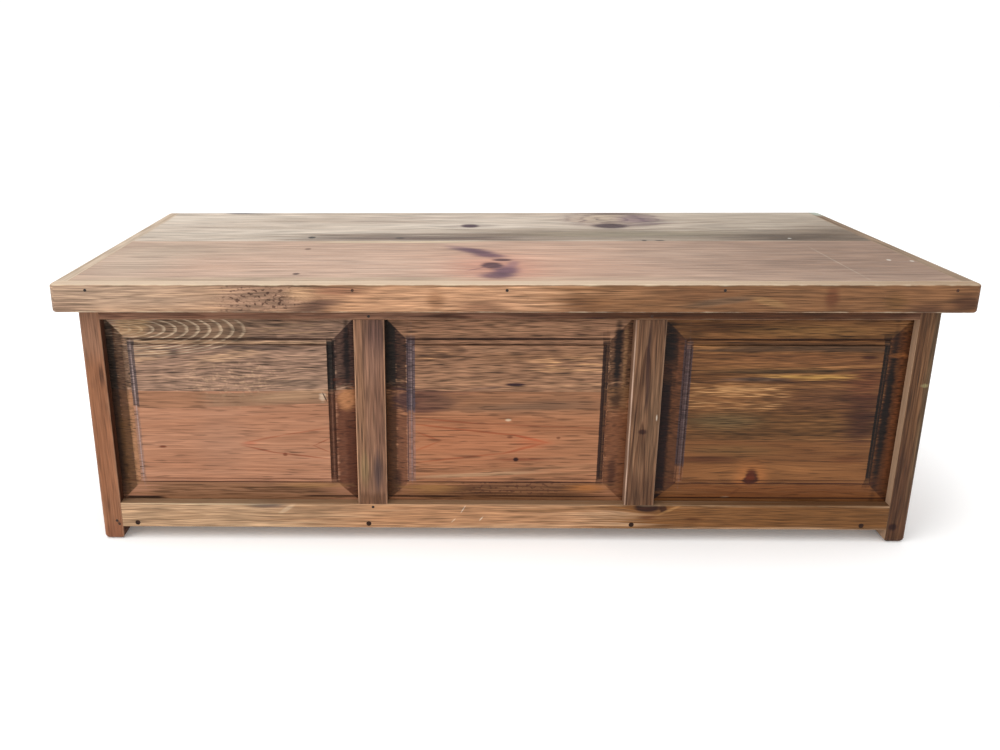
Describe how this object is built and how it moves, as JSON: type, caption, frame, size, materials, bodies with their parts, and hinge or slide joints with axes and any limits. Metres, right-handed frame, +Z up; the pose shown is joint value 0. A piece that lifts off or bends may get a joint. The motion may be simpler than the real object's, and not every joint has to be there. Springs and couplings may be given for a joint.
{
  "type": "wooden trunk",
  "caption": "Low framed pine trunk with raised front and end panels, rounded feet and a heavy overhanging boarded lid hinged at the back.",
  "frame": {"origin": "on the floor, under the middle of the lid's outline", "axes": "+X along the trunk towards its right end as seen from the front, -Y out of the front, +Z up"},
  "size_m": [1.27, 0.618, 0.404],
  "materials": {
    "frame_pine": "old stained pine, waxed, worn paler on its edges",
    "panel_pine": "old stained pine, waxed, darkened along the bevels",
    "lid_pine": "old stained pine, worn and dry on top",
    "back_pine": "stained pine, unwaxed",
    "inner_pine": "bare aged pine",
    "peg_wood": "dark end grain",
    "nail_iron": "rusted dark iron",
    "screw_iron": "darkened iron",
    "hinge_iron": "black wrought iron, lightly rusted"
  },
  "bodies": {
    "chest": {"back_bottom_rail": "frame_pine", "back_left_muntin": "frame_pine", "back_left_panel": "back_pine", "back_left_post": "frame_pine", "back_middle_panel": "back_pine", "back_right_muntin": "frame_pine", "back_right_panel": "back_pine", "back_right_post": "frame_pine", "back_top_rail": "frame_pine", "floor_bearer_far_left": "inner_pine", "floor_bearer_far_right": "inner_pine", "floor_bearer_left": "inner_pine", "floor_bearer_right": "inner_pine", "floor_board_back": "inner_pine", "floor_board_front": "inner_pine", "floor_board_middle": "inner_pine", "floor_nails": "nail_iron", "floor_pegs": "peg_wood", "frame_nails": "nail_iron", "front_bottom_rail": "frame_pine", "front_left_muntin": "frame_pine", "front_left_panel": "panel_pine", "front_left_post": "frame_pine", "front_middle_panel": "panel_pine", "front_right_muntin": "frame_pine", "front_right_panel": "panel_pine", "front_right_post": "frame_pine", "front_top_rail": "frame_pine", "hinge_body_screws": "screw_iron", "left_bottom_rail": "frame_pine", "left_end_panel": "panel_pine", "left_hinge_body_leaf": "hinge_iron", "left_hinge_pin": "hinge_iron", "left_top_rail": "frame_pine", "right_bottom_rail": "frame_pine", "right_end_panel": "panel_pine", "right_hinge_body_leaf": "hinge_iron", "right_hinge_pin": "hinge_iron", "right_top_rail": "frame_pine"},
    "lid": {"hinge_lid_screws": "screw_iron", "left_hinge_lid_leaf": "hinge_iron", "lid_back_board": "lid_pine", "lid_batten_screws": "screw_iron", "lid_front_board": "lid_pine", "lid_front_strip": "lid_pine", "lid_left_batten": "inner_pine", "lid_left_strip": "lid_pine", "lid_middle_batten": "inner_pine", "lid_right_batten": "inner_pine", "lid_right_strip": "lid_pine", "lid_strip_nails": "nail_iron", "right_hinge_lid_leaf": "hinge_iron"}
  },
  "joints": [
    {"name": "lid_hinge", "type": "hinge", "parent": "chest", "child": "lid", "pos_m": [0, 0.2895, 0.38385], "axis": [-1, 0, 0], "range_deg": [0, 100]}
  ]
}
